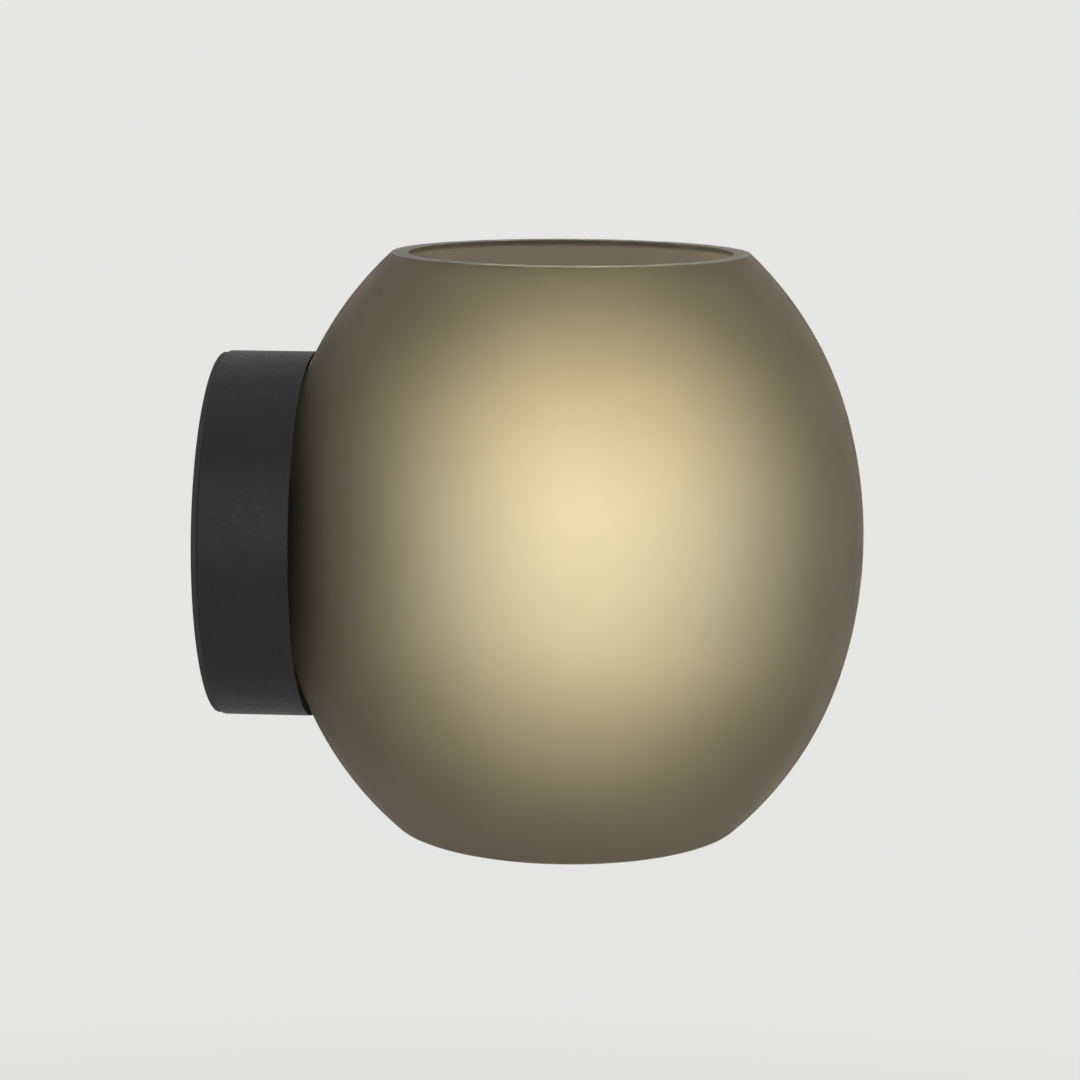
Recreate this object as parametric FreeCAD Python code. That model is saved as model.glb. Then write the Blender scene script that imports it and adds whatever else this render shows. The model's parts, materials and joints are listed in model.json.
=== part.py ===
import FreeCAD, Part
import math
import os

# Globe wall sconce: a smoked glass globe, open above and below, on a round black mount.
# Millimetres, +Z up. The origin is the centre of the wall-contact face, on the mount's axis.
# The wall is the XZ plane and the light stands out along -Y, so a "depth" is minus Y.

V = FreeCAD.Vector

# ---- Glass shade: two kinds of arc, cut flat above and below ----
glass_r = 90.0                # widest outer radius about the vertical axis
glass_height = 175.4          # between the flat-cut rims
side_arc_r = 137.5            # radius of the outline's middle arc
side_arc_half = 39.0          # height where the middle arc hands over to a shoulder arc
rim_outer_r = 54.0            # outer radius of each rim
glass_wall = 3.6
rim_ease = 0.4                # the ground edges of the rims
glass_hole_r = 21.0           # hole in the back, for the lampholder

# ---- Canopy: the round black mount ----
canopy_r = 56.2
canopy_depth = 28.7           # wall to the front edge, before that edge is eased
canopy_wall = 2.5
canopy_front_ease = 0.4
canopy_back_ease = 0.4
rim_gap = 0.35                # air between the front edge and the glass, along the depth
pocket_r = 28.0               # pocket for the seat gasket, in the middle of the dish
seat_rise = 0.5               # pocket floor to the glass's hindmost point

# ---- Wall gasket and wall plate ----
gasket_t = 1.8
gasket_inset = 0.5            # how far the gasket stays inside the canopy's edge
gasket_width = 3.5
plate_edge_gap = 3.7          # canopy's inner face to the plate's edge
plate_t = 1.5
slot_spacing = 60.0           # wall screws, side by side
slot_length = 12.0
slot_r = 2.5
cable_hole_r = 8.0            # hole in the plate for the grommet
cable_hole_z = 24.0
cable_bore_r = 4.5            # bore of the grommet
grommet_lip = 1.6             # how far the grommet's lips reach over the plate
grommet_lip_t = 1.2

# ---- How the canopy hangs on the plate ----
tab_t = 1.5
tab_inset = 1.0               # plate's edge to the outer faces of the hook tab and the tapped tab
hook_half_width = 8.0
hook_reach = 8.0              # depth of the lip's back face
lip_height = 3.0
rib_t = 2.5                   # the canopy's rib that hangs behind the lip
rib_half_width = 7.0
seat_play = 0.3               # play between the canopy's rib and boss and the plate's tabs
tapped_half_width = 7.0
tapped_length = 15.0
screw_depth = 10.0            # the canopy screw's distance from the wall
screw_r = 2.0
screw_head_r = 3.8
screw_head_t = 1.9
screw_sink = 0.2              # how far the screw's head lies under the canopy's skin
screw_tip = 3.0               # how far the screw reaches past the tapped tab's outer face
boss_r = 4.6
thread_play = 0.05            # radial clearance of every screwed or slid-on fit

# ---- Lampholder ----
holder_r = 20.0
holder_length = 49.0
holder_wall = 3.4
holder_base = 6.0
holder_ease = 0.8
carrier_from_seat = 16.5      # canopy pocket floor to the back of the contact carrier
carrier_floor = 4.0
carrier_length = 27.0
shell_t = 0.5
shell_lip = 1.0               # rolled lip at the shell's mouth
contact_t = 0.5
contact_half_width = 2.5
tongue_reach = 2.5            # how far the centre contact's tongue reaches past the axis
tongue_bend = 0.2             # inner corner of the tongue's bend, from the axis

# ---- Nipple that holds the lampholder on the canopy ----
nipple_r = 5.0
nipple_bore_r = 3.5
nipple_end = 0.6              # how far the nipple stands out of its nut
nut_flats = 14.0
nut_t = 2.8
washer_t = 0.8
washer_r = 8.0
washer_teeth = 10
washer_notch_r = 0.8

# ---- Gaskets and ring that clamp the glass ----
seat_gasket_r = 27.4
seat_gasket_bore_r = 20.6
seat_gap = 0.15               # gasket to glass
clamp_r = 27.5
clamp_gap = 0.3               # clamp gasket to glass
clamp_min = 1.5               # thinnest part of the clamp gasket
clamp_bore_play = 0.4
ring_flange_r = 29.0
ring_flange_t = 2.6
ring_hub_r = 23.6
ring_length = 10.0
ring_face_gap = 0.1           # ring to clamp gasket
ring_ribs = 12
ring_rib_r = 1.3

# ---- Lamp: a pear-shaped opal bulb with a screw cap ----
lamp_r = 30.0
lamp_length = 104.0
lamp_neck_r = 13.8
lamp_glass = 0.9
cap_r = 13.1
cap_wall = 0.6
cap_length = 25.0             # from the tip contact to the cap's rim
cap_shell_start = 4.5         # from the tip contact to the cap's screwed shell
cap_overlap = 12.0            # how far the bulb's neck reaches into the cap
tip_r = 4.8
tip_t = 1.2
insulator_tip_r = 6.4
insulator_spigot = 1.5        # how far the insulator reaches into the cap
lamp_play = 0.1               # radial clearance of the cap in the thread shell
contact_rise = 3.6            # carrier floor to the lamp's tip
contact_gap = 0.3             # centre contact to the lamp's tip

# ---- Terminal block, leads and earth, laid out in a frame turned about the mount's axis ----
wiring_turn = 45.0
pole_pitch = 9.5
poles = 3
block_inset = 3.0             # plate's edge to the block's far edge, along the block's own axis
block_length = 14.0
block_base_t = 4.0
block_axis = 5.5              # plate to the axis of the clamps
barrel_r = 3.6
chimney_r = 3.0
chimney_top = 11.5
clamp_tube_r = 2.3
clamp_bore_r = 1.6
clamp_tube_length = 12.4
clamp_screw_r = 1.25
clamp_screw_head_r = 1.7
clamp_screw_head_t = 1.6
clamp_screw_from_end = 3.4
block_screw_r = 1.2
block_screw_head_r = 2.0
block_screw_head_t = 1.6
lead_r = 1.1
lead_apart = 1.4              # each lead's distance from the nipple's axis
lead_floor = 3.6              # depth at which the leads cross behind the nipple
lead_in_clamp = 4.0
lead_play = 0.15              # radial clearance of a lead in its clamp, terminal or barrel
lead_run_out = 6.0            # straight run of each supply lead out of the block
lead_turn_in = 14.0           # where the supply leads reach their floor, from the axis
lead_spread = 0.5             # past the nipple's front end, where the leads start to spread
lead_run_in = 1.3             # straight run into each holder terminal
lead_end_gap = 1.5            # end of each lead to the carrier
terminal_end_wall = 1.0       # closed end of each holder terminal's bore
terminal_apart = 4.9          # lampholder terminals, from the axis
terminal_half = 2.5
terminal_long = 3.5
terminal_t = 5.0
terminal_screw_r = 1.2
terminal_screw_head_r = 2.0
terminal_screw_head_t = 1.6
earth_from_block = 8.7        # block's near edge to the earth screw's place, in the turned frame
earth_side = -24.0
earth_collar_r = 3.6
earth_collar_t = 2.0
earth_ring_r = 4.2
earth_ring_t = 0.8
earth_barrel_r = 1.9
earth_barrel_length = 5.0
earth_barrel_rise = 1.9
earth_barrel_bite = 0.4       # how far the barrel reaches over the ring's edge
earth_run_out = 4.0           # straight run of the earth lead out of the block
earth_sag = 1.4               # sideways reach of the earth lead's bend
earth_run_in = 4.5            # straight run towards the barrel
earth_washer_t = 0.8
earth_head_r = 3.8
earth_head_t = 2.2
slot_cut = 0.6                # width of a screwdriver slot

# ---- Worked out from the sizes above ----
rim_height = glass_height / 2.0
handover_angle = math.asin(side_arc_half / side_arc_r)
side_centre_r = glass_r - side_arc_r
handover_r = side_centre_r + side_arc_r * math.cos(handover_angle)
to_rim_r = rim_outer_r - handover_r
to_rim_z = rim_height - side_arc_half
along_normal = to_rim_r * math.cos(handover_angle) + to_rim_z * math.sin(handover_angle)
shoulder_r = -(to_rim_r ** 2 + to_rim_z ** 2) / (2.0 * along_normal)
shoulder_centre_r = handover_r - shoulder_r * math.cos(handover_angle)
shoulder_centre_z = side_arc_half - shoulder_r * math.sin(handover_angle)


def globe_radius(height, inset):
    """Radius of the globe's outline at a height, moved in from the outer face by inset."""
    if abs(height) <= side_arc_half - inset * math.sin(handover_angle):
        return side_centre_r + math.sqrt((side_arc_r - inset) ** 2 - height ** 2)
    reach = abs(height) - shoulder_centre_z
    return shoulder_centre_r + math.sqrt((shoulder_r - inset) ** 2 - reach ** 2)


globe_axis = canopy_depth + rim_gap + globe_radius(canopy_r, 0.0)
pocket_floor = globe_axis - glass_r - seat_rise
canopy_back = gasket_t
canopy_inner_r = canopy_r - canopy_wall
plate_r = canopy_inner_r - plate_edge_gap
tab_top = plate_r - tab_inset
holder_front = pocket_floor + holder_length
holder_bore_r = holder_r - holder_wall
carrier_back = pocket_floor + carrier_from_seat
carrier_face = carrier_back + carrier_floor
terminal_screw_depth = carrier_back - terminal_t / 2.0
shell_bore_r = cap_r + lamp_play
shell_outer_r = shell_bore_r + shell_t
lamp_tip = carrier_face + contact_rise
nut_face = pocket_floor - canopy_wall - washer_t
nipple_back = nut_face - nut_t - nipple_end
clamp_front = globe_axis - math.sqrt((glass_r - glass_wall) ** 2 - clamp_r ** 2) + clamp_min
ring_back = clamp_front + ring_face_gap
clamp_axis = plate_t + block_axis
block_far = plate_r - block_inset
block_near = block_far - block_length
earth_out = block_near - earth_from_block


def dish_depth(radius, behind):
    """Depth of the canopy's dish at a radius, or of its back face when behind is the wall."""
    return globe_axis - rim_gap - globe_radius(radius, -behind)


# ---- Building helpers ----
def on_mount(point):
    """A (radius, depth) point in the half plane that turns about the mount's axis."""
    return V(point[0], -point[1], 0)


def on_globe(point):
    """A (radius, height) point in the half plane that turns about the globe's axis."""
    return V(point[0], -globe_axis, point[1])


def outline(place, start, steps):
    """Closed flat face. A step is a point, or a pair of points for an arc through the first."""
    edges = []
    here = place(start)
    for step in steps:
        if isinstance(step[0], tuple):
            end = place(step[1])
            edges.append(Part.Arc(here, place(step[0]), end).toShape())
        else:
            end = place(step)
            edges.append(Part.makeLine(here, end))
        here = end
    edges.append(Part.makeLine(here, place(start)))
    return Part.Face(Part.Wire(edges))


def turned_on_mount(start, steps):
    return outline(on_mount, start, steps).revolve(V(0, 0, 0), V(0, 1, 0), 360)


def turned_on_globe(start, steps):
    return outline(on_globe, start, steps).revolve(V(0, -globe_axis, 0), V(0, 0, 1), 360)


def post(radius, near, far, x=0.0, z=0.0):
    """Round bar along the depth, from the depth near to the depth far."""
    return Part.makeCylinder(radius, far - near, V(x, -near, z), V(0, -1, 0))


def ring(outer_r, bore_r, near, far, x=0.0, z=0.0):
    return post(outer_r, near, far, x, z).cut(post(bore_r, near, far, x, z))


def slab(x_low, x_high, near, far, z_low, z_high):
    size = V(x_high - x_low, far - near, z_high - z_low)
    return Part.makeBox(size.x, size.y, size.z, V(x_low, -far, z_low))


def hexagon(flats, near, far):
    corner = flats / math.sqrt(3.0)
    points = []
    for step in range(7):
        angle = math.radians(60 * step)
        points.append(V(corner * math.cos(angle), -near, corner * math.sin(angle)))
    return Part.Face(Part.makePolygon(points)).extrude(V(0, near - far, 0))


def wiring(shape):
    """Turn a shape from the wiring's own frame into its place about the mount's axis."""
    return shape.copy().rotate(V(0, 0, 0), V(0, 1, 0), wiring_turn)


def ease(shape, size, picked):
    """Take the sharpness off the edges for which picked(edge) is true."""
    return shape.makeChamfer(size, [edge for edge in shape.Edges if picked(edge)])


def rim_edge(edge):
    """True for a circle that lies in one of the glass's two cut faces."""
    box = edge.BoundBox
    return box.ZLength < 0.01 and abs(abs(box.ZMax) - rim_height) < 0.01


def circle_at(radius, depth):
    """A test for the full circle of this radius about the mount's axis at this depth."""
    def picked(edge):
        box = edge.BoundBox
        flat = box.YLength < 0.01 and abs(box.YMax + depth) < 0.01
        return flat and abs(box.XLength - 2.0 * radius) < 0.05
    return picked


def lead_tube(points):
    """A lead through (out, depth, side) points: straight runs joined by tangent arcs."""
    places = [V(out, -depth, side) for out, depth, side in points]
    edges = []
    here = places[0]
    for before, corner, after in zip(places, places[1:], places[2:]):
        back = (before - corner).normalize()
        ahead = (after - corner).normalize()
        half_turn = (math.pi - back.getAngle(ahead)) / 2.0
        shorter = min(before.distanceToPoint(corner), after.distanceToPoint(corner))
        cut_back = 0.45 * shorter
        radius = cut_back / math.tan(half_turn)
        start = corner + back * cut_back
        end = corner + ahead * cut_back
        inward = (back + ahead).normalize()
        middle = corner + inward * (radius / math.cos(half_turn) - radius)
        edges.append(Part.makeLine(here, start))
        edges.append(Part.Arc(start, middle, end).toShape())
        here = end
    edges.append(Part.makeLine(here, places[-1]))
    path = Part.Wire(edges)
    section = Part.Wire(Part.makeCircle(lead_r, places[0], places[1] - places[0]))
    return wiring(path.makePipeShell([section], True, False))


def pole_places():
    return [(index - (poles - 1) / 2.0) * pole_pitch for index in range(poles)]


def clamp_screw_places():
    ends = (block_near + clamp_screw_from_end, block_far - clamp_screw_from_end)
    return [(out, side) for side in pole_places() for out in ends]


# ---- Glass ----
def globe_arcs(inset):
    """The outline's height points, from the lower rim up, for a face moved in by inset."""
    handover = side_arc_half - inset * math.sin(handover_angle)
    between = (rim_height + handover) / 2.0
    heights = (-rim_height, -between, -handover, 0.0, handover, between, rim_height)
    return [(globe_radius(height, inset), height) for height in heights]


def globe_solid(inset):
    """The whole space inside the globe's outline, moved in by inset."""
    points = globe_arcs(inset)
    steps = [points[0], (points[1], points[2]), (points[3], points[4]),
             (points[5], points[6]), (0.0, rim_height)]
    return turned_on_globe((0.0, -rim_height), steps)


def glass_shade():
    outer = globe_arcs(0.0)
    inner = globe_arcs(glass_wall)
    steps = [(outer[1], outer[2]), (outer[3], outer[4]), (outer[5], outer[6]), inner[6],
             (inner[5], inner[4]), (inner[3], inner[2]), (inner[1], inner[0])]
    shell = ease(turned_on_globe(outer[0], steps), rim_ease, rim_edge)
    return shell.cut(post(glass_hole_r, 0.0, globe_axis / 2.0))


def seat_gasket():
    far = globe_axis - math.sqrt(glass_r ** 2 - seat_gasket_r ** 2)
    blank = ring(seat_gasket_r, seat_gasket_bore_r, pocket_floor, far)
    return blank.cut(globe_solid(-seat_gap))


def clamp_gasket():
    blank = ring(clamp_r, holder_r + clamp_bore_play, pocket_floor, clamp_front)
    return blank.common(globe_solid(glass_wall + clamp_gap))


def shade_ring():
    bore = holder_r + thread_play
    hub_front = ring_back + ring_length
    body = turned_on_mount((bore, ring_back), [
        (ring_flange_r, ring_back), (ring_flange_r, ring_back + ring_flange_t),
        (ring_hub_r, ring_back + ring_flange_t), (ring_hub_r, hub_front), (bore, hub_front)])
    body = ease(body, holder_ease, circle_at(ring_flange_r, ring_back + ring_flange_t))
    for index in range(ring_ribs):
        angle = 2.0 * math.pi * index / ring_ribs
        x = ring_hub_r * math.cos(angle)
        z = ring_hub_r * math.sin(angle)
        body = body.fuse(post(ring_rib_r, ring_back + ring_flange_t, hub_front, x, z))
    return body.cut(post(bore, ring_back, hub_front)).removeSplitter()


# ---- Mount ----
def canopy():
    middle = (pocket_r + side_arc_half) / 2.0
    outer_middle = (side_arc_half + canopy_r) / 2.0
    behind = canopy_wall
    back_pocket = pocket_r + canopy_wall
    back_handover = side_arc_half + behind * math.sin(handover_angle)
    back_middle = (back_pocket + back_handover) / 2.0
    back_outer = (back_handover + canopy_inner_r) / 2.0
    hole = nipple_r + thread_play
    body = turned_on_mount((canopy_r, canopy_back), [
        (canopy_r, canopy_depth),
        ((outer_middle, dish_depth(outer_middle, 0)), (side_arc_half, dish_depth(side_arc_half, 0))),
        ((middle, dish_depth(middle, 0)), (pocket_r, dish_depth(pocket_r, 0))),
        (pocket_r, pocket_floor), (hole, pocket_floor), (hole, pocket_floor - canopy_wall),
        (back_pocket, pocket_floor - canopy_wall), (back_pocket, dish_depth(back_pocket, behind)),
        ((back_middle, dish_depth(back_middle, behind)),
         (back_handover, dish_depth(back_handover, behind))),
        ((back_outer, dish_depth(back_outer, behind)),
         (canopy_inner_r, dish_depth(canopy_inner_r, behind))),
        (canopy_inner_r, canopy_back)])
    body = ease(body, canopy_front_ease, circle_at(canopy_r, canopy_depth))
    body = ease(body, canopy_back_ease, circle_at(canopy_r, canopy_back))
    within = post(canopy_r - canopy_wall / 2.0, canopy_back, canopy_depth)
    lip_back = hook_reach - seat_play
    rib = slab(-rib_half_width, rib_half_width, lip_back - rib_t, lip_back,
               tab_top + seat_play, canopy_r)
    boss = upright_post(boss_r, -canopy_r, -tab_top - seat_play)
    body = body.fuse([rib.common(within), boss.common(within)])
    body = body.cut(upright_post(screw_r + thread_play, -canopy_r, -tab_top))
    return body.cut(screw_head(thread_play, canopy_wall)).removeSplitter()


def upright_post(radius, low, high):
    """Round bar along Z through the canopy screw's place."""
    return Part.makeCylinder(radius, high - low, V(0, -screw_depth, low))


def screw_head(play, above):
    """The canopy screw's countersunk head, or the space for it when play is given."""
    face = screw_sink - canopy_r
    cone = Part.makeCone(screw_head_r + play, screw_r + play, screw_head_t, V(0, -screw_depth, face))
    if play:
        return cone.fuse(upright_post(screw_head_r + play, face - above, face))
    return cone


def canopy_screw():
    face = screw_sink - canopy_r
    shank = upright_post(screw_r, face + screw_head_t, screw_tip - tab_top)
    slot = slab(-slot_cut / 2.0, slot_cut / 2.0, screw_depth - screw_head_r,
                screw_depth + screw_head_r, face, face + slot_cut)
    return screw_head(0.0, 0.0).fuse(shank).cut(slot)


def wall_plate():
    plate = post(plate_r, 0.0, plate_t)
    half_run = slot_length / 2.0 - slot_r
    for side in (-1, 1):
        x = side * slot_spacing / 2.0
        plate = plate.cut(slab(x - half_run, x + half_run, 0.0, plate_t, -slot_r, slot_r))
        for end in (-1, 1):
            plate = plate.cut(post(slot_r, 0.0, plate_t, x + end * half_run))
    plate = plate.cut(post(cable_hole_r, 0.0, plate_t, 0.0, cable_hole_z))
    hook = slab(-hook_half_width, hook_half_width, 0.0, hook_reach + tab_t, tab_top - tab_t, tab_top)
    lip = slab(-hook_half_width, hook_half_width, hook_reach, hook_reach + tab_t,
               tab_top, tab_top + lip_height)
    tapped = slab(-tapped_half_width, tapped_half_width, 0.0, tapped_length,
                  -tab_top, tab_t - tab_top)
    collar = wiring(post(earth_collar_r, 0.0, plate_t + earth_collar_t, earth_out, earth_side))
    plate = plate.fuse([hook, lip, tapped, collar])
    plate = plate.cut(upright_post(screw_r + thread_play, -tab_top, screw_tip - tab_top))
    plate = plate.cut(wiring(post(screw_r + thread_play, 0.0, plate_t + earth_collar_t,
                                  earth_out, earth_side)))
    plate = plate.cut(wiring(post(block_screw_r + thread_play, 0.0, plate_t,
                                  block_middle(), pole_pitch / 2.0)))
    return plate.removeSplitter()


def wall_gasket():
    outer = canopy_r - gasket_inset
    return ring(outer, outer - gasket_width, 0.0, gasket_t)


def cable_grommet():
    """A bush pushed in from the front: a neck through the plate and a lip over its face."""
    neck = cable_hole_r - thread_play
    lip = cable_hole_r + grommet_lip
    front = plate_t + grommet_lip_t
    body = post(neck, 0.0, front, 0.0, cable_hole_z)
    body = body.fuse(post(lip, plate_t, front, 0.0, cable_hole_z))
    return body.cut(post(cable_bore_r, 0.0, front, 0.0, cable_hole_z))


# ---- Lampholder and its fixing ----
def lampholder_body():
    bore = nipple_r + thread_play
    inner_floor = pocket_floor + holder_base
    body = turned_on_mount((bore, pocket_floor), [
        (holder_r, pocket_floor), (holder_r, holder_front), (holder_bore_r, holder_front),
        (holder_bore_r, inner_floor), (bore, inner_floor)])
    return ease(body, holder_ease, circle_at(holder_r, holder_front))


def contact_carrier():
    outer = holder_bore_r - thread_play
    sleeve = shell_outer_r + thread_play
    front = carrier_back + carrier_length
    cup = turned_on_mount((0.0, carrier_back), [
        (outer, carrier_back), (outer, front), (sleeve, front),
        (sleeve, carrier_face), (0.0, carrier_face)])
    for side in (-1, 1):
        cup = cup.cut(contact_leg(side, thread_play))
    return wiring(cup)


def contact_leg(side, play):
    """The leg of a contact that passes back through the carrier, or its slot."""
    middle = side * terminal_apart
    half = contact_half_width + play
    return slab(-half, half, carrier_back, carrier_face,
                middle - contact_t / 2.0 - play, middle + contact_t / 2.0 + play)


def thread_shell():
    """Brass shell in the carrier's sleeve, with a rolled lip over the sleeve's front."""
    foot = carrier_face + contact_t
    sleeve_front = carrier_back + carrier_length
    lip = shell_outer_r + shell_lip
    return turned_on_mount((shell_bore_r, foot), [
        (shell_outer_r, foot), (shell_outer_r, sleeve_front), (lip, sleeve_front),
        (lip, sleeve_front + shell_t), (shell_bore_r, sleeve_front + shell_t)])


def bent_strip(points):
    """Flat strip through (side, depth) points, as wide as a contact."""
    wire = Part.makePolygon([V(-contact_half_width, -depth, side) for side, depth in points])
    return Part.Face(wire).extrude(V(2.0 * contact_half_width, 0, 0))


def centre_contact():
    """A leg through the carrier, a foot on its face, and a sprung tongue under the lamp's tip."""
    leg = terminal_apart + contact_t / 2.0
    face = carrier_face
    crest = lamp_tip - contact_gap
    strip = bent_strip([
        (leg, carrier_back), (leg, face + contact_t), (contact_t, crest), (-tongue_reach, crest),
        (-tongue_reach, crest - contact_t), (tongue_bend, crest - contact_t),
        (leg - contact_t, face),
        (leg - contact_t, carrier_back), (leg, carrier_back)])
    return wiring(strip)


def shell_contact():
    """A leg through the carrier and a foot that runs out under the thread shell."""
    inner = terminal_apart - contact_t / 2.0
    outer = inner + contact_t
    front = carrier_face + contact_t
    foot = shell_outer_r - contact_t / 2.0
    strip = bent_strip([
        (-inner, carrier_back), (-inner, front), (-foot, front), (-foot, carrier_face),
        (-outer, carrier_face), (-outer, carrier_back), (-inner, carrier_back)])
    return wiring(strip)


def holder_terminals():
    near = carrier_back - terminal_t
    solids = []
    for side in (-1, 1):
        middle = side * terminal_apart
        block = slab(-terminal_long, terminal_long, near, carrier_back,
                     middle - terminal_half, middle + terminal_half)
        bore_end = carrier_back - terminal_end_wall
        block = block.cut(post(lead_r + lead_play, near, bore_end, 0.0, middle))
        screw = Part.makeCylinder(terminal_screw_r + thread_play, terminal_long,
                                  V(0, -terminal_screw_depth, middle), V(1, 0, 0))
        solids.append(block.cut(screw))
    return wiring(Part.Compound(solids))


def holder_terminal_screws():
    solids = []
    for side in (-1, 1):
        middle = side * terminal_apart
        tip = lead_r + lead_play
        shank = Part.makeCylinder(terminal_screw_r, terminal_long - tip,
                                  V(tip, -terminal_screw_depth, middle), V(1, 0, 0))
        head = Part.makeCylinder(terminal_screw_head_r, terminal_screw_head_t,
                                 V(terminal_long, -terminal_screw_depth, middle), V(1, 0, 0))
        solids.append(shank.fuse(head))
    return wiring(Part.Compound(solids))


def mounting_nipple():
    return ring(nipple_r, nipple_bore_r, nipple_back, pocket_floor + holder_base)


def nipple_nut():
    bore = post(nipple_r + thread_play, nut_face - nut_t, nut_face)
    return hexagon(nut_flats, nut_face - nut_t, nut_face).cut(bore)


def lock_washer():
    near = nut_face
    far = near + washer_t
    washer = ring(washer_r, nipple_r + thread_play, near, far)
    for index in range(washer_teeth):
        angle = 2.0 * math.pi * index / washer_teeth
        x = washer_r * math.cos(angle)
        z = washer_r * math.sin(angle)
        notch = post(washer_notch_r, near, far, x, z)
        washer = washer.cut(notch)
    return washer


# ---- Terminal block, leads and earth ----
def block_middle():
    return block_near + block_length / 2.0


def along_out(radius, near, far, side):
    """Round bar along the outward direction at the clamps' depth."""
    return Part.makeCylinder(radius, far - near, V(near, -clamp_axis, side), V(1, 0, 0))


def terminal_block():
    half = poles * pole_pitch / 2.0
    top = plate_t + chimney_top
    body = slab(block_near, block_far, plate_t, plate_t + block_base_t, -half, half)
    body = body.fuse([along_out(barrel_r, block_near, block_far, side) for side in pole_places()])
    body = body.fuse([post(chimney_r, plate_t, top, out, side) for out, side in clamp_screw_places()])
    for side in pole_places():
        body = body.cut(along_out(clamp_tube_r + thread_play, block_near, block_far, side))
    for out, side in clamp_screw_places():
        body = body.cut(post(clamp_screw_head_r + thread_play, clamp_axis, top, out, side))
    screw_side = pole_pitch / 2.0
    body = body.cut(post(block_screw_r + thread_play, plate_t, top, block_middle(), screw_side))
    seat = plate_t + block_base_t
    body = body.cut(post(block_screw_head_r + thread_play, seat, top, block_middle(), screw_side))
    return wiring(body)


def terminal_clamps():
    near = block_near + (block_length - clamp_tube_length) / 2.0
    solids = []
    for side in pole_places():
        tube = along_out(clamp_tube_r, near, near + clamp_tube_length, side)
        tube = tube.cut(along_out(clamp_bore_r, near, near + clamp_tube_length, side))
        for out, screw_side in clamp_screw_places():
            if screw_side == side:
                hole = post(clamp_screw_r + thread_play, clamp_axis, clamp_axis + clamp_tube_r, out, side)
                tube = tube.cut(hole)
        solids.append(tube)
    return wiring(Part.Compound(solids))


def terminal_screws():
    """Each screw's tip stops just above the lead in its clamp."""
    tip = clamp_axis + lead_r + lead_play
    seat = clamp_axis + clamp_tube_r + clamp_screw_head_t
    solids = []
    for out, side in clamp_screw_places():
        shank = post(clamp_screw_r, tip, seat, out, side)
        head = post(clamp_screw_head_r, seat, seat + clamp_screw_head_t, out, side)
        slot = slab(out - clamp_screw_head_r, out + clamp_screw_head_r, seat + slot_cut,
                    seat + clamp_screw_head_t, side - slot_cut / 2.0, side + slot_cut / 2.0)
        solids.append(shank.fuse(head).cut(slot))
    return wiring(Part.Compound(solids))


def block_screw():
    seat = plate_t + block_base_t
    side = pole_pitch / 2.0
    shank = post(block_screw_r, plate_t / 3.0, seat, block_middle(), side)
    head = post(block_screw_head_r, seat, seat + block_screw_head_t, block_middle(), side)
    return wiring(shank.fuse(head))


def supply_lead(side, pole):
    """From a clamp of the block, behind the nipple, through it and into a holder terminal."""
    start = block_near + lead_in_clamp
    apart = side * lead_apart
    inside = pocket_floor + holder_base
    into_terminal = carrier_back - terminal_t
    return lead_tube([
        (start, clamp_axis, pole), (block_near - lead_run_out, clamp_axis, pole),
        (lead_turn_in, lead_floor, apart), (0.0, lead_floor, apart),
        (0.0, inside + lead_spread, apart),
        (0.0, into_terminal - lead_run_in, side * terminal_apart),
        (0.0, carrier_back - lead_end_gap, side * terminal_apart)])


def live_lead():
    return supply_lead(1, pole_pitch)


def neutral_lead():
    return supply_lead(-1, 0.0)


def earth_barrel_depth():
    return plate_t + earth_collar_t + earth_barrel_rise


def earth_barrel_near():
    """Side coordinate where the ring terminal's barrel starts."""
    return earth_side + earth_ring_r - earth_barrel_bite


def earth_lead():
    depth = earth_barrel_depth()
    inside = earth_barrel_near() + earth_barrel_length / 3.0
    start = block_near + lead_in_clamp
    return lead_tube([
        (start, clamp_axis, -pole_pitch), (block_near - earth_run_out, clamp_axis, -pole_pitch),
        (earth_out + earth_sag, (depth + clamp_axis) / 2.0, -pole_pitch - earth_sag),
        (earth_out, depth, -pole_pitch - earth_run_in), (earth_out, depth, inside)])


def earth_terminal():
    near = plate_t + earth_collar_t
    depth = earth_barrel_depth()
    flat = post(earth_ring_r, near, near + earth_ring_t, earth_out, earth_side)
    barrel = Part.makeCylinder(earth_barrel_r, earth_barrel_length,
                               V(earth_out, -depth, earth_barrel_near()), V(0, 0, 1))
    bore = Part.makeCylinder(lead_r + lead_play, earth_barrel_length,
                             V(earth_out, -depth, earth_barrel_near()), V(0, 0, 1))
    hole = post(screw_r + thread_play, near, near + earth_ring_t, earth_out, earth_side)
    return wiring(flat.fuse(barrel).cut(hole).cut(bore))


def earth_washer():
    near = plate_t + earth_collar_t + earth_ring_t
    washer = ring(earth_head_r, screw_r + thread_play, near, near + earth_washer_t,
                  earth_out, earth_side)
    return wiring(washer)


def earth_screw():
    seat = plate_t + earth_collar_t + earth_ring_t + earth_washer_t
    top = seat + earth_head_t
    shank = post(screw_r, plate_t / 3.0, seat, earth_out, earth_side)
    head = post(earth_head_r, seat, top, earth_out, earth_side)
    slot = slab(earth_out - earth_head_r, earth_out + earth_head_r, top - slot_cut, top,
                earth_side - slot_cut / 2.0, earth_side + slot_cut / 2.0)
    return wiring(shank.fuse(head).cut(slot))


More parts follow.
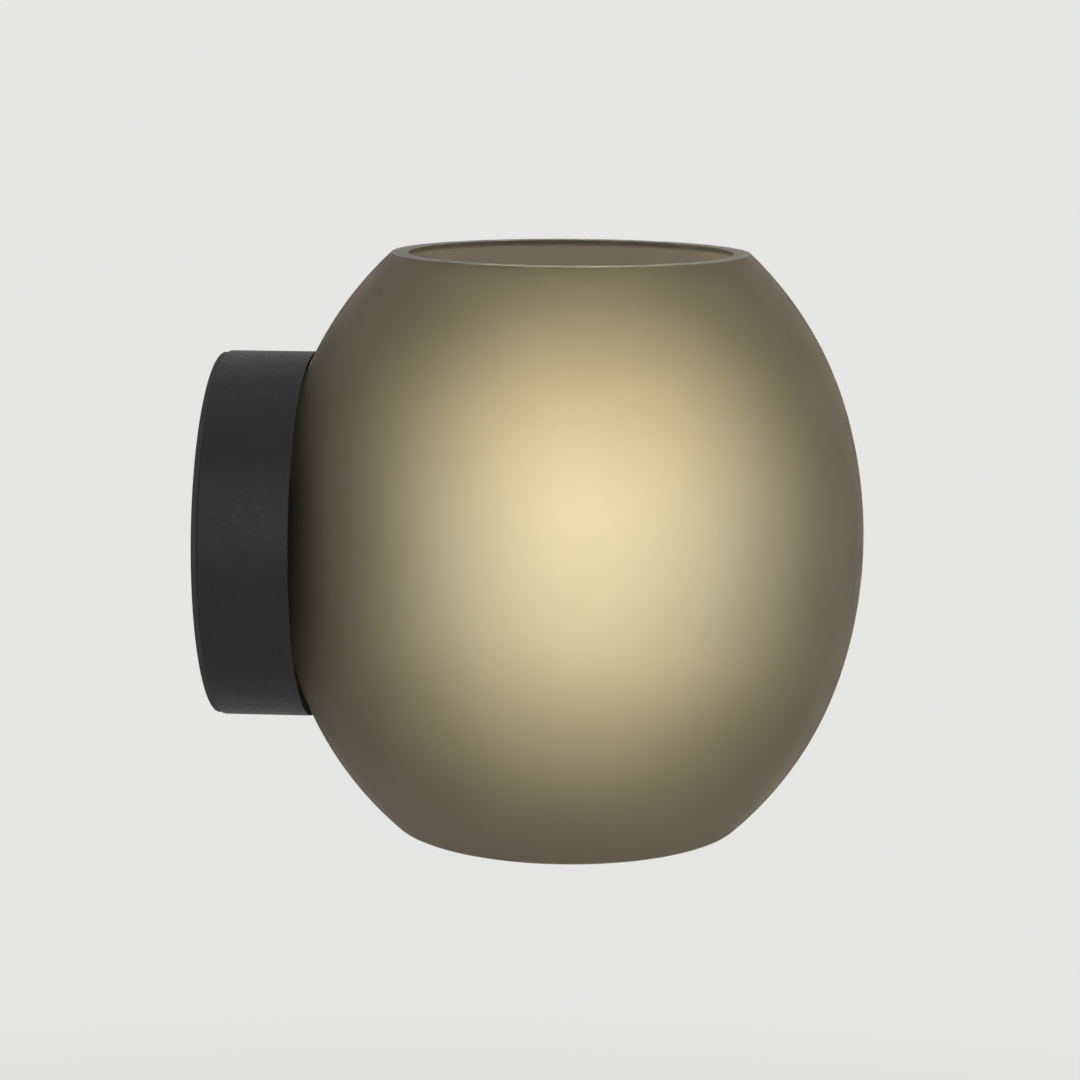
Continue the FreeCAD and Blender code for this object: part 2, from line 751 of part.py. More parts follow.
# ---- Lamp ----
def bulb_face(inset):
    """The bulb's ball and the cone that runs from it to the neck, moved in by inset."""
    centre = lamp_tip + lamp_length - lamp_r
    ball_r = lamp_r - inset
    neck = lamp_neck_r - inset
    rim = lamp_tip + cap_length
    to_neck = math.atan2(centre - rim, neck)
    below = to_neck - math.acos(ball_r / math.hypot(neck, centre - rim))
    above = (math.pi / 2.0 - below) / 2.0
    touch = (ball_r * math.cos(below), centre - ball_r * math.sin(below))
    crown = (ball_r * math.cos(above), centre + ball_r * math.sin(above))
    return (neck, rim), touch, crown, (0.0, centre + ball_r)


def lamp_bulb():
    """Opal glass envelope, open at the neck, where it is cemented into the cap."""
    neck, touch, crown, tip = bulb_face(0.0)
    inner_neck, inner_touch, inner_crown, inner_tip = bulb_face(lamp_glass)
    sleeve = cap_r - cap_wall - thread_play
    near = neck[1] - cap_overlap
    inner_end = (sleeve - lamp_glass, inner_neck[1] + lamp_glass)
    return turned_on_mount((sleeve, near), [
        (sleeve, neck[1]), neck, touch, (crown, tip), inner_tip, (inner_crown, inner_touch),
        inner_end, (sleeve - lamp_glass, near)])


def lamp_cap():
    return ring(cap_r, cap_r - cap_wall, lamp_tip + cap_shell_start, lamp_tip + cap_length)


def lamp_insulator():
    near = lamp_tip + tip_t
    far = lamp_tip + cap_shell_start
    return turned_on_mount((0.0, near), [
        (insulator_tip_r, near), (cap_r, far), (cap_r - cap_wall - thread_play, far),
        (cap_r - cap_wall - thread_play, far + insulator_spigot), (0.0, far + insulator_spigot)])


def lamp_contact():
    return post(tip_r, lamp_tip, lamp_tip + tip_t)


NODES = {
    "wall_plate": wall_plate,
    "wall_gasket": wall_gasket,
    "cable_grommet": cable_grommet,
    "canopy": canopy,
    "canopy_screw": canopy_screw,
    "seat_gasket": seat_gasket,
    "glass_shade": glass_shade,
    "clamp_gasket": clamp_gasket,
    "shade_ring": shade_ring,
    "lampholder_body": lampholder_body,
    "contact_carrier": contact_carrier,
    "thread_shell": thread_shell,
    "centre_contact": centre_contact,
    "shell_contact": shell_contact,
    "holder_terminals": holder_terminals,
    "holder_terminal_screws": holder_terminal_screws,
    "mounting_nipple": mounting_nipple,
    "nipple_nut": nipple_nut,
    "lock_washer": lock_washer,
    "terminal_block": terminal_block,
    "terminal_clamps": terminal_clamps,
    "terminal_screws": terminal_screws,
    "block_screw": block_screw,
    "live_lead": live_lead,
    "neutral_lead": neutral_lead,
    "earth_lead": earth_lead,
    "earth_terminal": earth_terminal,
    "earth_washer": earth_washer,
    "earth_screw": earth_screw,
    "lamp_bulb": lamp_bulb,
    "lamp_cap": lamp_cap,
    "lamp_insulator": lamp_insulator,
    "lamp_contact": lamp_contact,
}

os.makedirs("parts", exist_ok=True)
for name, make in NODES.items():
    make().exportStep("parts/" + name + ".step")
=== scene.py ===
import bpy
import bmesh
import json
import math
from collections import namedtuple
from mathutils import Matrix, Vector


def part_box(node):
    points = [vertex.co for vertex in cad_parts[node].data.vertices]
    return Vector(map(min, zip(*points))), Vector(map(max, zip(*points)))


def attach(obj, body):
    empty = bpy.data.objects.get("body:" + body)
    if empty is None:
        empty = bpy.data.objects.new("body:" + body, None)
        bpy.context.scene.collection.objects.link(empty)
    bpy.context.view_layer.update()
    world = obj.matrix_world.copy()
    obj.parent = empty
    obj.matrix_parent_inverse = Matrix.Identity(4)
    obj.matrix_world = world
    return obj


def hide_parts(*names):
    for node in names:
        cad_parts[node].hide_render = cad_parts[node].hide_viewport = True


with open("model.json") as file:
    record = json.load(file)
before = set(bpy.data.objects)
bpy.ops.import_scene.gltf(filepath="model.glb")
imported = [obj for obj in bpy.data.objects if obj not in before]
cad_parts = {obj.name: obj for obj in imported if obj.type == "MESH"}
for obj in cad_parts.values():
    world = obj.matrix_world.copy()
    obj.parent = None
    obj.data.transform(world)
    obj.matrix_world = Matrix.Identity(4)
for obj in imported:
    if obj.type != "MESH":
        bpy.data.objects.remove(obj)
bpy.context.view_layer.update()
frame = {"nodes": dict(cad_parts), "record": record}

# Globe wall sconce: the looks of each piece, in metres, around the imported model.
# "Mount" places are (radius, depth): depth grows from the wall along -Y. "Globe" places are
# (radius, height) about the globe's own upright axis.
bpy.context.scene.view_settings.view_transform = "Standard"
NODES = frame["nodes"]
MM = 0.001
FULL_TURN = 2.0 * math.pi
Round = namedtuple("Round", "near far radius")


def around(node):
    """A round node's near and far depth from the wall, and its radius."""
    low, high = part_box(node)
    return Round(-high.y, -low.y, high.x)


# ---- Sizes that the frame gives ----
GLASS_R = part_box("glass_shade")[1].x
RIM_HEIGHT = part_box("glass_shade")[1].z
GLOBE_DEPTH = around("glass_shade").far - GLASS_R
CANOPY_BACK = around("canopy").near
CANOPY_R = around("canopy").radius
PLATE_T = 1.5 * MM

# ---- Sizes of the CAD model that its boxes don't give ----
GLASS_WALL = 3.6 * MM
SIDE_ARC_R = 137.5 * MM
SIDE_ARC_HALF = 39.0 * MM
RIM_OUTER_R = 54.0 * MM
GLASS_HOLE_R = 21.0 * MM
RIM_ROUNDING = 0.45 * MM
CANOPY_DEPTH = 28.7 * MM      # with its front edge still sharp
CANOPY_WALL = 2.5 * MM
RIM_GAP = 0.35 * MM
POCKET_R = 28.0 * MM
SCREW_R = 2.05 * MM
SCREW_HEAD_R = 3.85 * MM
SCREW_HEAD_T = 1.9 * MM
SCREW_SINK = 0.2 * MM
SCREW_DEPTH = 10.0 * MM
CANOPY_BOSS_R = 4.6 * MM
LUG_HALF_WIDTH = 7.0 * MM
LUG_NEAR = 5.2 * MM
LUG_FAR = 7.7 * MM
TAB_TOP = 49.3 * MM
GROMMET_BORE_R = 4.5 * MM
GROMMET_NECK_R = 7.95 * MM
CABLE_Z = 24.0 * MM
GASKET_WIDTH = 3.5 * MM
HOLDER_BORE_R = 16.6 * MM
HOLDER_BASE = 6.0 * MM
NIPPLE_R = 5.05 * MM
NIPPLE_BORE_R = 3.5 * MM
RING_HUB_R = 23.6 * MM
RING_RIB_R = 1.3 * MM
RING_RIBS = 12
RING_FLANGE_T = 2.6 * MM
LAMP_NECK_R = 13.8 * MM
LAMP_SLEEVE_R = 11.6 * MM
LAMP_GLASS = 0.9 * MM
CAP_OVERLAP = 12.0 * MM
INSULATOR_TIP_R = 6.4 * MM
INSULATOR_SHOULDER_R = 9.0 * MM
SHELL_BORE_R = 13.25 * MM

# ---- Screw threads, all right-handed ----
LAMP_PITCH = 25.4 / 7.0 * MM
LAMP_THREAD = 0.75 * MM       # height of the cap's rolled thread
SHELL_THREAD = 0.7 * MM
SHEET_T = 0.4 * MM            # the thread shell's brass
CAP_T = 0.45 * MM
RING_PITCH = 3.0 * MM
RING_THREAD = 0.8 * MM        # depth of the thread on the holder
RING_BORE_THREAD = 0.6 * MM
RING_PLAY = 0.05 * MM
RING_ROOT = 0.85              # share of the holder's wave that the ring's thread stays out of
THREAD_FLANK = 0.9            # the plastic threads have steeper flanks than the rolled ones
NIPPLE_PITCH = 1.0 * MM
NIPPLE_THREAD = 0.45 * MM
HOLDER_LEAD = 1.5 * MM        # the length over which a thread rises from nothing at its ends
RING_LEAD = 1.2 * MM
LAMP_LEAD = 2.0 * MM
NIPPLE_LEAD = 0.6 * MM

# ---- Camera, as the photograph was taken ----
CAMERA_AZIMUTH = -86.7625
CAMERA_ELEVATION = 10.3378
CAMERA_DISTANCE = 0.85691
LOOK_AZIMUTH = 0.5986         # how far the camera looks past the globe's centre, in degrees
LOOK_ELEVATION = 0.0441
CAMERA_ROLL = 0.3459
FOCAL_PIXELS = 2788.97
FRAME_PIXELS = 1080.0
SENSOR = 36.0


def link(obj):
    """Put an object into the scene."""
    bpy.context.scene.collection.objects.link(obj)
    return obj


def back_direction(azimuth, elevation):
    """From the object towards a viewer at this azimuth and elevation, in degrees."""
    a = math.radians(azimuth)
    e = math.radians(elevation)
    return Vector((math.sin(a) * math.cos(e), -math.cos(a) * math.cos(e), math.sin(e)))


def make_camera():
    data = bpy.data.cameras.new("camera")
    data.sensor_width = SENSOR
    data.lens = FOCAL_PIXELS / FRAME_PIXELS * SENSOR
    data.clip_start = 0.01
    data.clip_end = 50.0
    camera = link(bpy.data.objects.new("camera", data))
    centre = Vector((0.0, -GLOBE_DEPTH, 0.0))
    place = centre + CAMERA_DISTANCE * back_direction(CAMERA_AZIMUTH, CAMERA_ELEVATION)
    back = back_direction(CAMERA_AZIMUTH + LOOK_AZIMUTH, CAMERA_ELEVATION + LOOK_ELEVATION)
    right = Vector((0.0, 0.0, 1.0)).cross(back).normalized()
    up = back.cross(right)
    roll = math.radians(CAMERA_ROLL)
    rolled_right = math.cos(roll) * right + math.sin(roll) * up
    rolled_up = math.cos(roll) * up - math.sin(roll) * right
    axes = Matrix((rolled_right, rolled_up, back)).transposed()
    camera.matrix_world = Matrix.Translation(place) @ axes.to_4x4()
    bpy.context.scene.camera = camera


# ---- Mesh building ----
WELD = 1e-7
EDGE_SHARE = 0.49             # a rounding takes up less than half of each edge beside it


def on_mount(radius, angle, depth):
    return (radius * math.cos(angle), -depth, radius * math.sin(angle))


def on_globe(radius, angle, height):
    return (radius * math.cos(angle), -GLOBE_DEPTH + radius * math.sin(angle), height)


def arc(centre, radius, start, end, count):
    """Points of an arc about centre, from angle start to angle end, both included."""
    angles = [start + (end - start) * index / count for index in range(count + 1)]
    return [(centre[0] + radius * math.cos(a), centre[1] + radius * math.sin(a)) for a in angles]


def soften(corners, steps=4):
    """Closed outline from (radius, height, rounding) corners, with each corner rounded."""
    points = []
    count = len(corners)
    for index, (x, y, rounding) in enumerate(corners):
        if rounding <= 0.0:
            points.append((x, y))
            continue
        corner = Vector((x, y))
        before = Vector(corners[index - 1][:2]) - corner
        after = Vector(corners[(index + 1) % count][:2]) - corner
        half = before.angle(after) / 2.0
        room = EDGE_SHARE * min(before.length, after.length)
        reach = min(rounding / math.tan(half), room)
        start = corner + before.normalized() * reach
        end = corner + after.normalized() * reach
        for step in range(steps + 1):
            t = step / steps
            point = start * (1 - t) ** 2 + corner * 2 * t * (1 - t) + end * t ** 2
            points.append((point.x, point.y))
    return points


def shade(obj, angle=35.0):
    """Smooth shading, with sharp edges where faces meet at more than an angle in degrees."""
    mesh = obj.data
    mesh.polygons.foreach_set("use_smooth", [True] * len(mesh.polygons))
    mesh.set_sharp_from_angle(angle=math.radians(angle))
    mesh.update()
    return obj


def turned(name, place, outline, segments=96, shape=None):
    """Turn a closed outline about its axis. shape(angle, radius, height) may change a radius."""
    mesh = bpy.data.meshes.new(name)
    count = len(outline)
    vertices = []
    for segment in range(segments):
        angle = FULL_TURN * segment / segments
        for radius, height in outline:
            r = shape(angle, radius, height) if shape else radius
            vertices.append(place(r, angle, height))
    faces = []
    for segment in range(segments):
        here = segment * count
        ahead = (segment + 1) % segments * count
        for index in range(count):
            after = (index + 1) % count
            faces.append((here + index, here + after, ahead + after, ahead + index))
    mesh.from_pydata(vertices, [], faces)
    bm = bmesh.new()
    bm.from_mesh(mesh)
    bmesh.ops.remove_doubles(bm, verts=bm.verts, dist=WELD)
    bmesh.ops.recalc_face_normals(bm, faces=bm.faces)
    bm.to_mesh(mesh)
    bm.free()
    return shade(link(bpy.data.objects.new(name, mesh)))


def apply_modifiers(obj):
    """Replace an object's mesh by what its modifiers make of it."""
    graph = bpy.context.evaluated_depsgraph_get()
    mesh = bpy.data.meshes.new_from_object(obj.evaluated_get(graph))
    obj.modifiers.clear()
    obj.data = mesh
    return obj


def combine(obj, other, operation):
    """Cut another mesh away from one, or add it, and remove the other."""
    change = obj.modifiers.new("combine", "BOOLEAN")
    change.operation = operation
    change.solver = "EXACT"
    change.object = other
    bpy.context.view_layer.update()
    apply_modifiers(obj)
    bpy.data.objects.remove(other)
    return shade(obj)


def pole(name, low_r, high_r, low, high, segments=64):
    """Round bar or cone between two places."""
    reach = Vector(high) - Vector(low)
    bm = bmesh.new()
    bmesh.ops.create_cone(bm, cap_ends=True, segments=segments, radius1=low_r, radius2=high_r,
                          depth=reach.length)
    mesh = bpy.data.meshes.new(name)
    bm.to_mesh(mesh)
    bm.free()
    turn = reach.to_track_quat("Z", "Y").to_matrix().to_4x4()
    mesh.transform(Matrix.Translation((Vector(low) + Vector(high)) / 2.0) @ turn)
    return link(bpy.data.objects.new(name, mesh))


def block(name, low, high):
    """Box between two opposite corners."""
    bm = bmesh.new()
    bmesh.ops.create_cube(bm, size=1.0)
    size = Vector(high) - Vector(low)
    bmesh.ops.scale(bm, vec=size, verts=bm.verts)
    bmesh.ops.translate(bm, vec=(Vector(high) + Vector(low)) / 2.0, verts=bm.verts)
    mesh = bpy.data.meshes.new(name)
    bm.to_mesh(mesh)
    bm.free()
    return link(bpy.data.objects.new(name, mesh))


def smooth_step(value):
    """0 below 0, 1 above 1, and a smooth rise between."""
    value = min(max(value, 0.0), 1.0)
    return value * value * (3.0 - 2.0 * value)


def within(depth, near, far, lead):
    """1 between two depths, easing to 0 over the lead inside each."""
    return smooth_step((depth - near) / lead) * smooth_step((far - depth) / lead)


def thread_wave(angle, depth, pitch, steepness=0.5):
    """From 0 in a right-handed thread's root to 1 on its crest."""
    wave = 0.5 + steepness * math.cos(FULL_TURN * depth / pitch - angle)
    return min(max(wave, 0.0), 1.0)


def run(radius, near, far, step):
    """Closely spaced points along the depth, for a threaded face."""
    count = max(2, round(abs(far - near) / step))
    return [(radius, near + (far - near) * index / count, 0.0) for index in range(count + 1)]


# ---- Material building ----
NOISE_LOW = 0.3               # noise seldom leaves this range
NOISE_HIGH = 0.7


def scaled(color, factor):
    return tuple(channel * factor for channel in color)


class Material:
    """A Principled material with helpers for the procedural nodes around it."""

    def __init__(self, name, color, roughness, metallic=0.0):
        self.material = bpy.data.materials.new(name)
        self.material.use_nodes = True
        self.nodes = self.material.node_tree.nodes
        self.links = self.material.node_tree.links
        self.shader = self.nodes["Principled BSDF"]
        self.place = self.nodes.new("ShaderNodeTexCoord").outputs["Object"]
        self.set("Base Color", (*color, 1.0))
        self.set("Roughness", roughness)
        self.set("Metallic", metallic)

    def set(self, socket, value):
        self.shader.inputs[socket].default_value = value

    def join(self, output, socket):
        self.links.new(output, self.shader.inputs[socket])

    def noise(self, size, detail=2.0):
        """Noise whose features are about size metres across."""
        node = self.nodes.new("ShaderNodeTexNoise")
        node.inputs["Scale"].default_value = 1.0 / size
        node.inputs["Detail"].default_value = detail
        self.links.new(self.place, node.inputs["Vector"])
        return node.outputs["Fac"]

    def along(self, axis):
        """One of the object coordinates."""
        node = self.nodes.new("ShaderNodeSeparateXYZ")
        self.links.new(self.place, node.inputs["Vector"])
        return node.outputs[axis]

    def math(self, operation, *values):
        """A Math node's result. A value is a number or another node's output."""
        node = self.nodes.new("ShaderNodeMath")
        node.operation = operation
        for socket, value in zip(node.inputs, values):
            if isinstance(value, float):
                socket.default_value = value
            else:
                self.links.new(value, socket)
        return node.outputs["Value"]

    def length(self, first, second):
        """Square root of the sum of two squares."""
        squares = [self.math("MULTIPLY", value, value) for value in (first, second)]
        return self.math("SQRT", self.math("ADD", *squares))

    def mix(self, amount, first, second):
        """Colour that runs from the first to the second as amount goes from 0 to 1."""
        node = self.nodes.new("ShaderNodeMix")
        node.data_type = "RGBA"
        sockets = [socket for socket in node.inputs if socket.enabled]
        for socket, value in zip(sockets, (amount, first, second)):
            self.links.new(value, socket)
        return next(socket for socket in node.outputs if socket.enabled)

    def span(self, value, low, high, from_low=NOISE_LOW, from_high=NOISE_HIGH):
        """Spread a value over the range low to high, and hold it there past the ends."""
        node = self.nodes.new("ShaderNodeMapRange")
        node.inputs["From Min"].default_value = from_low
        node.inputs["From Max"].default_value = from_high
        node.inputs["To Min"].default_value = low
        node.inputs["To Max"].default_value = high
        self.links.new(value, node.inputs["Value"])
        return node.outputs["Result"]

    def between(self, value, low, high):
        """Colour that runs from low to high as noise does."""
        node = self.nodes.new("ShaderNodeValToRGB")
        node.color_ramp.elements[0].position = NOISE_LOW
        node.color_ramp.elements[0].color = (*low, 1.0)
        node.color_ramp.elements[1].position = NOISE_HIGH
        node.color_ramp.elements[1].color = (*high, 1.0)
        self.links.new(value, node.inputs["Fac"])
        return node.outputs["Color"]

    def mottled(self, color, spread, size, detail=2.0):
        """A colour that wanders by up to a share of itself, in patches about size metres across."""
        low = scaled(color, 1.0 - spread)
        high = scaled(color, 1.0 + spread)
        return self.between(self.noise(size, detail), low, high)

    def vary_roughness(self, roughness, spread, size):
        """Roughness that wanders by up to the spread, in patches about size metres across."""
        self.join(self.span(self.noise(size), roughness - spread, roughness + spread), "Roughness")

    def relief(self, value, depth, strength=1.0):
        """Fine relief, depth metres deep."""
        node = self.nodes.new("ShaderNodeBump")
        node.inputs["Distance"].default_value = depth
        node.inputs["Strength"].default_value = strength
        self.links.new(value, node.inputs["Height"])
        self.join(node.outputs["Normal"], "Normal")


# ---- Finishes ----
COAT_TINT = (0.010, 0.010, 0.0102)
COAT_ROUGHNESS = 0.5
COAT_SPECULAR = 0.21
COAT_GRAIN = 0.55 * MM        # the powder's fine orange peel
GLASS_TINT = (0.25, 0.23, 0.195)
GLASS_ROUGHNESS = 0.95
GLASS_IOR = 1.7
GLASS_SHEEN = (0.40, 0.37, 0.32)  # what the satin etch leaves of the face-on reflection
NECK_PAINTED_SHADE = 0.25             # painted shade: by the mount the glass's colour darkens to this share of its tint
# depths from the wall where the painted shade by the mount is full, and where it has faded out
NECK_DARK = 18.0 * MM
NECK_CLEAR = 42.0 * MM
LIP_PAINTED_SHADE = (0.02, 0.018, 0.015)   # painted shade: a dark line inside each opening, just behind its cut face
LIP_DEPTH = 2.4 * MM
CUT_TINT = (0.17, 0.155, 0.13)    # the cut faces of the two openings are smoother
CUT_ROUGHNESS = 0.5
CUT_DEPTH = 0.15 * MM
BULB_GLASS = (0.9, 0.88, 0.82)
BULB_COLOR = (1.0, 0.99, 0.78)
BULB_GLOW = 10.8
BULB_DARK = 70.0 * MM         # depths between which the neck's darkness gives way to the glow
BULB_LIT = 95.0 * MM
POLE_COLOR = (1.0, 0.90, 0.57)
POLE_GAIN = 3.0               # how much stronger the glow is at the bulb's top and bottom


def powder_coat():
    m = Material("powder_coat_black", COAT_TINT, COAT_ROUGHNESS)
    m.set("Specular IOR Level", COAT_SPECULAR)
    m.join(m.mottled(COAT_TINT, 0.15, 6.0 * MM, 3.0), "Base Color")
    m.vary_roughness(COAT_ROUGHNESS, 0.06, 1.2 * MM)
    m.relief(m.noise(COAT_GRAIN), 0.02 * MM, 0.5)
    return m.material


def painted_lip_shade(m, height):
    """Mask of the painted shade line: 1 on the inner wall of each opening, just behind its cut
    face, and 0 elsewhere.
    """
    radius = m.length(m.along("X"), m.math("ADD", m.along("Y"), GLOBE_DEPTH))
    middle = RIM_OUTER_R - GLASS_WALL / 2.0
    inside = m.span(radius, 1.0, 0.0, middle - 0.3 * MM, middle + 0.3 * MM)
    near_cut = m.span(height, 0.0, 1.0, RIM_HEIGHT - LIP_DEPTH, RIM_HEIGHT - 0.6 * LIP_DEPTH)
    return m.math("MULTIPLY", inside, near_cut)


# Satin smoked glass; its colour also carries painted shade by the mount and inside each opening.
def smoked_glass():
    m = Material("smoked_glass_satin", GLASS_TINT, GLASS_ROUGHNESS)
    m.set("IOR", GLASS_IOR)
    m.set("Transmission Weight", 1.0)
    m.set("Specular Tint", (*GLASS_SHEEN, 1.0))
    height = m.math("ABSOLUTE", m.along("Z"))
    cut = m.span(height, 0.0, 1.0, RIM_HEIGHT - CUT_DEPTH, RIM_HEIGHT - CUT_DEPTH / 3.0)
    # painted shade by the mount: clear runs from 0 by the mount to 1 further out, and neck is the
    # glass's tint darkened there
    clear = m.span(m.along("Y"), 0.0, 1.0, -NECK_DARK, -NECK_CLEAR)
    blown = m.mottled(GLASS_TINT, 0.02, 30.0 * MM)
    neck = m.mottled(scaled(GLASS_TINT, NECK_PAINTED_SHADE), 0.02, 30.0 * MM)
    # painted shade: the colour of the dark line inside each opening
    lip = m.mottled(LIP_PAINTED_SHADE, 0.1, 2.0 * MM)
    # the glass's tint, with the painted shade by the mount and the painted dark line in each
    # opening
    tint_with_painted_shade = m.mix(painted_lip_shade(m, height), m.mix(clear, neck, blown), lip)
    m.join(m.mix(cut, tint_with_painted_shade, m.mottled(CUT_TINT, 0.08, 1.5 * MM)), "Base Color")
    etch = m.span(m.noise(0.4 * MM), -0.02, 0.02)
    roughness = m.span(cut, GLASS_ROUGHNESS, CUT_ROUGHNESS, 0.0, 1.0)
    m.join(m.math("ADD", etch, roughness), "Roughness")
    return m.material


def opal_glass():
    m = Material("opal_glass_lit", BULB_GLASS, 0.3)
    m.vary_roughness(0.3, 0.05, 2.0 * MM)
    pole = m.span(m.math("ABSOLUTE", m.along("Z")), 0.0, 1.0, 0.0, around("lamp_bulb").radius)
    m.join(m.between(pole, BULB_COLOR, POLE_COLOR), "Emission Color")
    lit = m.span(m.along("Y"), 0.0, BULB_GLOW, -BULB_DARK, -BULB_LIT)
    gain = m.span(pole, 1.0, POLE_GAIN, 0.0, 1.0)
    m.join(m.math("MULTIPLY", lit, gain), "Emission Strength")
    return m.material


def plain(name, color, roughness, metallic=0.0, size=3.0, relief=0.0):
    """A material whose colour and roughness wander a little, with an optional fine relief."""
    m = Material(name, color, roughness, metallic)
    m.join(m.mottled(color, 0.12, size * MM, 3.0), "Base Color")
    m.vary_roughness(roughness, 0.06, size * MM / 3.0)
    if relief:
        m.relief(m.noise(size * MM / 5.0), relief * MM)
    return m.material


def striped(name, first, second, roughness=0.45, width=2.2):
    """Wire insulation in slanting stripes, width millimetres wide."""
    m = Material(name, first, roughness)
    slant = m.math("ADD", m.along("X"), m.math("ADD", m.along("Y"), m.along("Z")))
    wave = m.math("SINE", m.math("MULTIPLY", slant, math.pi / (width * MM)))
    stripe = m.span(wave, 0.0, 1.0, -0.06, 0.06)
    colors = [m.mottled(color, 0.1, 3.0 * MM) for color in (first, second)]
    m.join(m.mix(stripe, *colors), "Base Color")
    m.vary_roughness(roughness, 0.06, MM)
    return m.material


MATERIALS = {
    "matte_black": powder_coat(),
    "smoked_glass": smoked_glass(),
    "opal_glass": opal_glass(),
    "foam": plain("foam_black", (0.02, 0.02, 0.02), 0.9, relief=0.05, size=1.5),
    "black_rubber": plain("rubber_black", (0.025, 0.025, 0.025), 0.65, relief=0.01),
    "silicone": plain("silicone_clear_grey", (0.5, 0.49, 0.46), 0.45),
    "holder_plastic": plain("thermoplastic_black", (0.02, 0.02, 0.02), 0.4, relief=0.008),
    "white_insert": plain("steatite", (0.75, 0.74, 0.7), 0.6, relief=0.02),
    "white_polyamide": plain("polyamide_natural", (0.78, 0.78, 0.74), 0.4),
    "brass": plain("brass_bright", (0.78, 0.58, 0.28), 0.25, 1.0),
    "zinc_steel": plain("steel_zinc_plated", (0.62, 0.63, 0.64), 0.34, 1.0),
    "black_screw": plain("steel_black_oxide", (0.03, 0.03, 0.032), 0.4, 0.6),
    "tinned_copper": plain("copper_tinned", (0.7, 0.69, 0.66), 0.3, 1.0),
    "lead_brown": plain("insulation_brown", (0.17, 0.07, 0.03), 0.45),
    "lead_blue": plain("insulation_blue", (0.03, 0.12, 0.42), 0.45),
    "lead_green_yellow": striped("insulation_green_yellow", (0.03, 0.25, 0.04), (0.75, 0.6, 0.03)),
    "nickel": plain("nickel_plate", (0.68, 0.66, 0.62), 0.22, 1.0),
    "black_glass": plain("glass_black", (0.012, 0.012, 0.014), 0.12),
    "solder": plain("solder_dull", (0.6, 0.6, 0.58), 0.4, 1.0, relief=0.02),
}


SLOTS = {part["node"]: part["material_slot"] for part in frame["record"]["subparts"]}


def finish_piece(obj, body, node):
    """Give a piece its node's finish and body, and let it stand for the node."""
    obj.data.materials.clear()
    obj.data.materials.append(MATERIALS[SLOTS[node]])
    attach(obj, body)
    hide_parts(node)


# ---- Glass ----
HANDOVER = math.asin(SIDE_ARC_HALF / SIDE_ARC_R)
SIDE_CENTRE = GLASS_R - SIDE_ARC_R
HANDOVER_R = SIDE_CENTRE + SIDE_ARC_R * math.cos(HANDOVER)
TO_RIM = Vector((RIM_OUTER_R - HANDOVER_R, RIM_HEIGHT - SIDE_ARC_HALF))
ALONG = TO_RIM.dot(Vector((math.cos(HANDOVER), math.sin(HANDOVER))))
SHOULDER_R = -TO_RIM.length_squared / (2.0 * ALONG)
SHOULDER = (HANDOVER_R - SHOULDER_R * math.cos(HANDOVER),
            SIDE_ARC_HALF - SHOULDER_R * math.sin(HANDOVER))


def globe_radius(height, inset):
    """Radius of the globe's outline at a height, moved in by inset."""
    if abs(height) <= SIDE_ARC_HALF - inset * math.sin(HANDOVER):
        return SIDE_CENTRE + math.sqrt((SIDE_ARC_R - inset) ** 2 - height ** 2)
    reach = abs(height) - SHOULDER[1]
    return SHOULDER[0] + math.sqrt((SHOULDER_R - inset) ** 2 - reach ** 2)


def glass_side(inset, count=44):
    """The glass's outline from the lower rim to the upper rim, moved in by inset."""
    rim_angle = math.asin((RIM_HEIGHT - SHOULDER[1]) / (SHOULDER_R - inset))
    upper = arc(SHOULDER, SHOULDER_R - inset, HANDOVER, rim_angle, count)
    side = arc((SIDE_CENTRE, 0.0), SIDE_ARC_R - inset, -HANDOVER, HANDOVER, count)
    lower = [(radius, -height) for radius, height in reversed(upper)]
    return lower + side[1:-1] + upper


def make_glass():
    outer = [(radius, height, 0.0) for radius, height in glass_side(0.0)]
    inner = [(radius, height, 0.0) for radius, height in reversed(glass_side(GLASS_WALL))]
    for row in (outer, inner):
        row[0] = (*row[0][:2], RIM_ROUNDING)
        row[-1] = (*row[-1][:2], RIM_ROUNDING)
    glass = turned("glass_globe", on_globe, soften(outer + inner), 288)
    hole = pole("glass_drill", GLASS_HOLE_R, GLASS_HOLE_R, (0.0, 0.0, 0.0),
                (0.0, -GLOBE_DEPTH / 2.0, 0.0), 96)
    combine(glass, hole, "DIFFERENCE")
    finish_piece(glass, "fixture", "glass_shade")


# ---- Mount ----
def dish_depth(radius, behind):
    """Depth of the canopy's dish at a radius, or of its back face when behind is the wall."""
    return GLOBE_DEPTH - RIM_GAP - globe_radius(radius, -behind)


def dish(start, end, behind, count=24):
    radii = [start + (end - start) * index / count for index in range(count + 1)]
    return [(radius, dish_depth(radius, behind), 0.0) for radius in radii]


